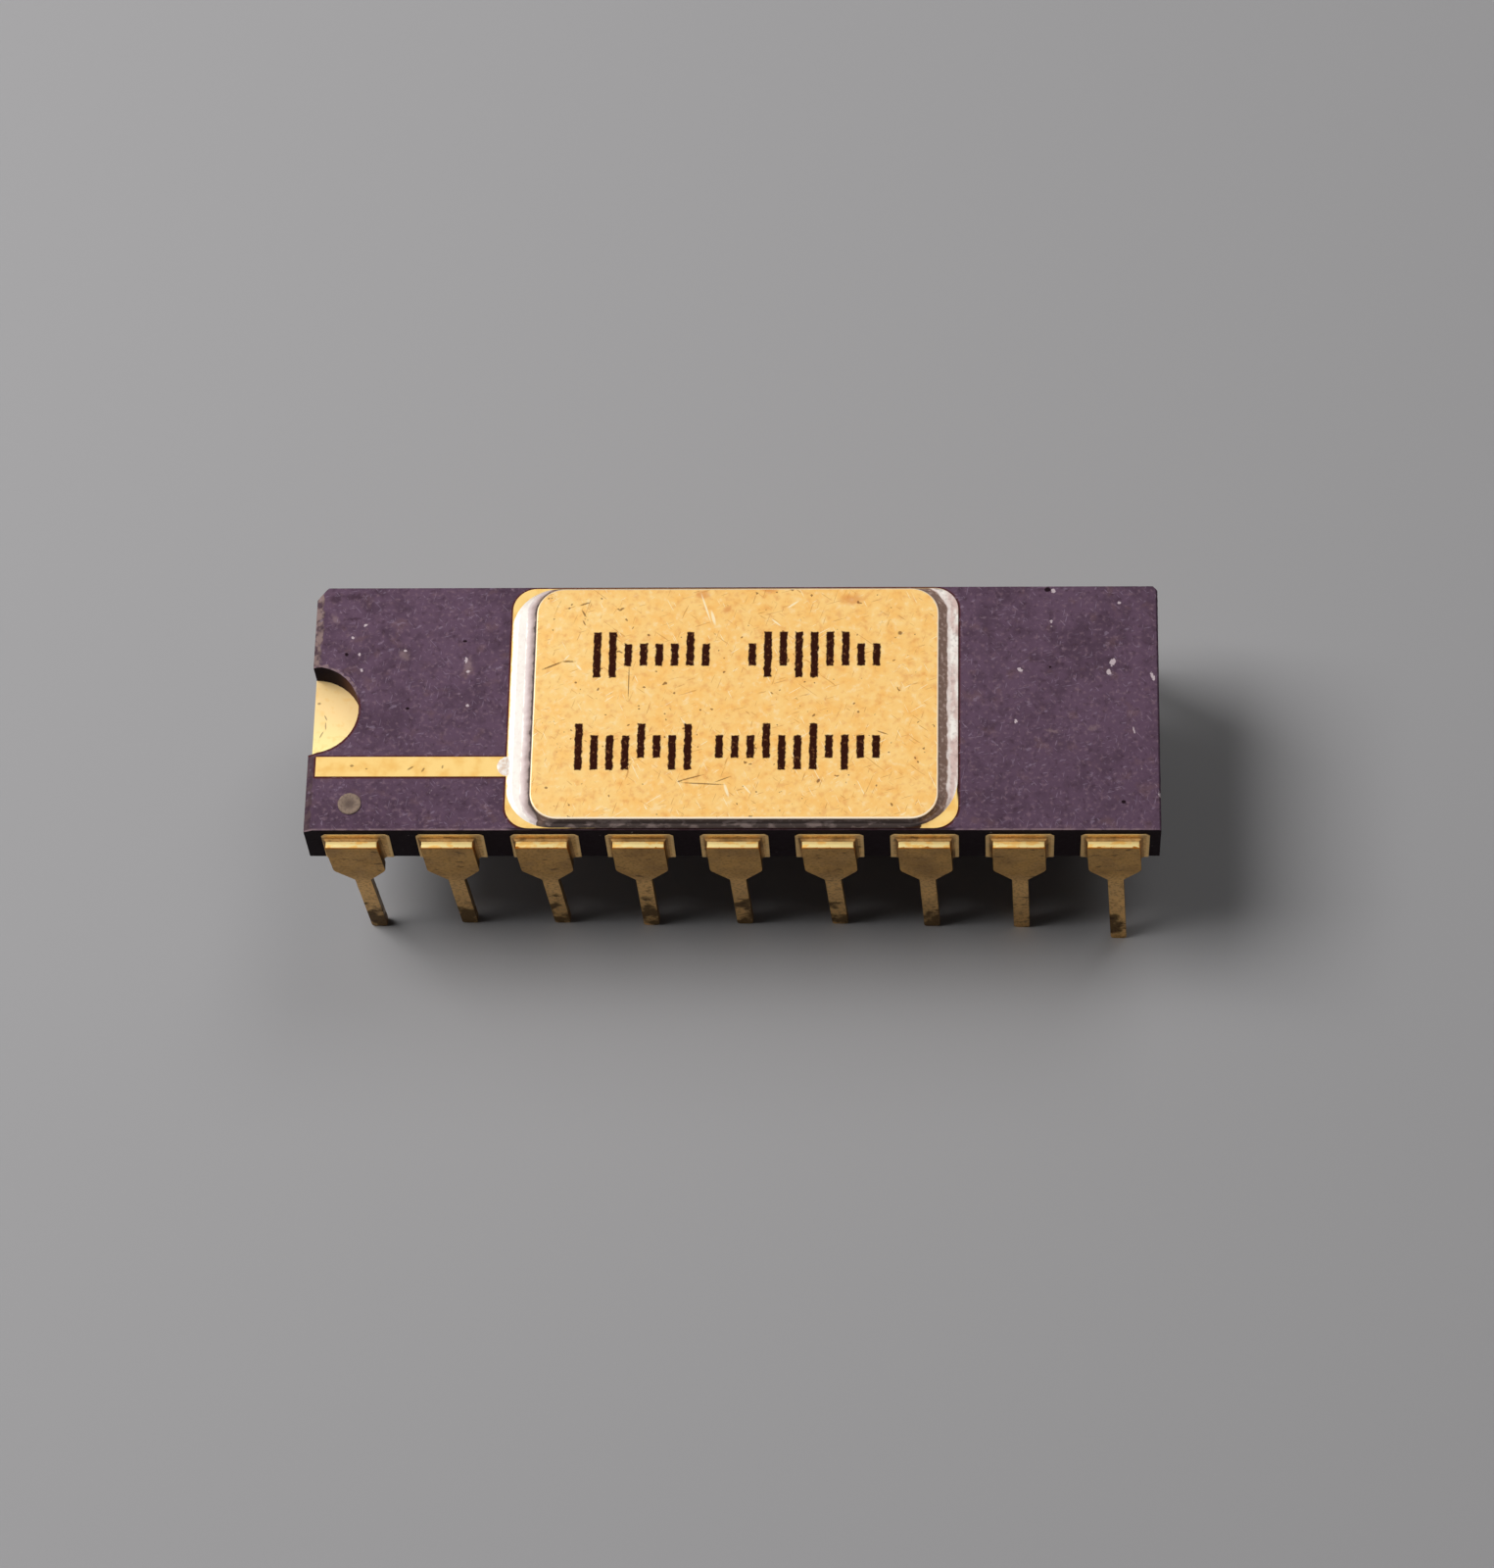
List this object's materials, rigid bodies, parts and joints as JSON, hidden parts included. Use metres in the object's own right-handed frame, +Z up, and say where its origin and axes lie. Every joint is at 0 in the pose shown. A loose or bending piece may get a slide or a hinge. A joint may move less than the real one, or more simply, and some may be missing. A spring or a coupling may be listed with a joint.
{
  "type": "ceramic baud rate generator chip",
  "caption": "Baud rate generator in a side-brazed ceramic dual in-line package, with a soldered metal lid and straight leads.",
  "frame": {"origin": "on the surface that the lead tips stand on, under the middle of the two lead rows", "axes": "+X along the package away from its notched end, +Y from the row of pins 1 to 9 to the far row, +Z up out of the lid"},
  "size_m": [0.0229, 0.0084, 0.0058],
  "materials": {
    "purple_ceramic": "matte",
    "printed_gold": "satin",
    "lid_gold": "satin",
    "pad_gold": "matte",
    "lead_gold": "matte",
    "gold_braze": "satin",
    "seal_solder": "satin",
    "grey_ink": "matte",
    "fired_tungsten": "matte",
    "bond_aluminium": "satin",
    "die_attach_alloy": "satin",
    "silicon": "gloss"
  },
  "bodies": {
    "root": {"ceramic_body": "purple_ceramic", "notch_floor": "printed_gold", "pin_one_dot": "grey_ink", "seal_ring": "printed_gold", "solder_seal": "seal_solder", "lid": "lid_gold", "side_pads": "pad_gold", "inner_traces": "fired_tungsten", "chip_bond_pads": "bond_aluminium", "die_pad": "printed_gold", "die_attach": "die_attach_alloy", "die": "silicon", "braze_fillets": "gold_braze", "lead_01": "lead_gold", "lead_02": "lead_gold", "lead_03": "lead_gold", "lead_04": "lead_gold", "lead_05": "lead_gold", "lead_06": "lead_gold", "lead_07": "lead_gold", "lead_08": "lead_gold", "lead_09": "lead_gold", "lead_10": "lead_gold", "lead_11": "lead_gold", "lead_12": "lead_gold", "lead_13": "lead_gold", "lead_14": "lead_gold", "lead_15": "lead_gold", "lead_16": "lead_gold", "lead_17": "lead_gold", "lead_18": "lead_gold", "bond_wire_01": "bond_aluminium", "bond_wire_02": "bond_aluminium", "bond_wire_03": "bond_aluminium", "bond_wire_04": "bond_aluminium", "bond_wire_05": "bond_aluminium", "bond_wire_06": "bond_aluminium", "bond_wire_07": "bond_aluminium", "bond_wire_08": "bond_aluminium", "bond_wire_09": "bond_aluminium", "bond_wire_10": "bond_aluminium", "bond_wire_11": "bond_aluminium", "bond_wire_12": "bond_aluminium", "bond_wire_13": "bond_aluminium", "bond_wire_14": "bond_aluminium", "bond_wire_15": "bond_aluminium", "bond_wire_16": "bond_aluminium", "bond_wire_17": "bond_aluminium", "bond_wire_18": "bond_aluminium"}
  },
  "joints": []
}
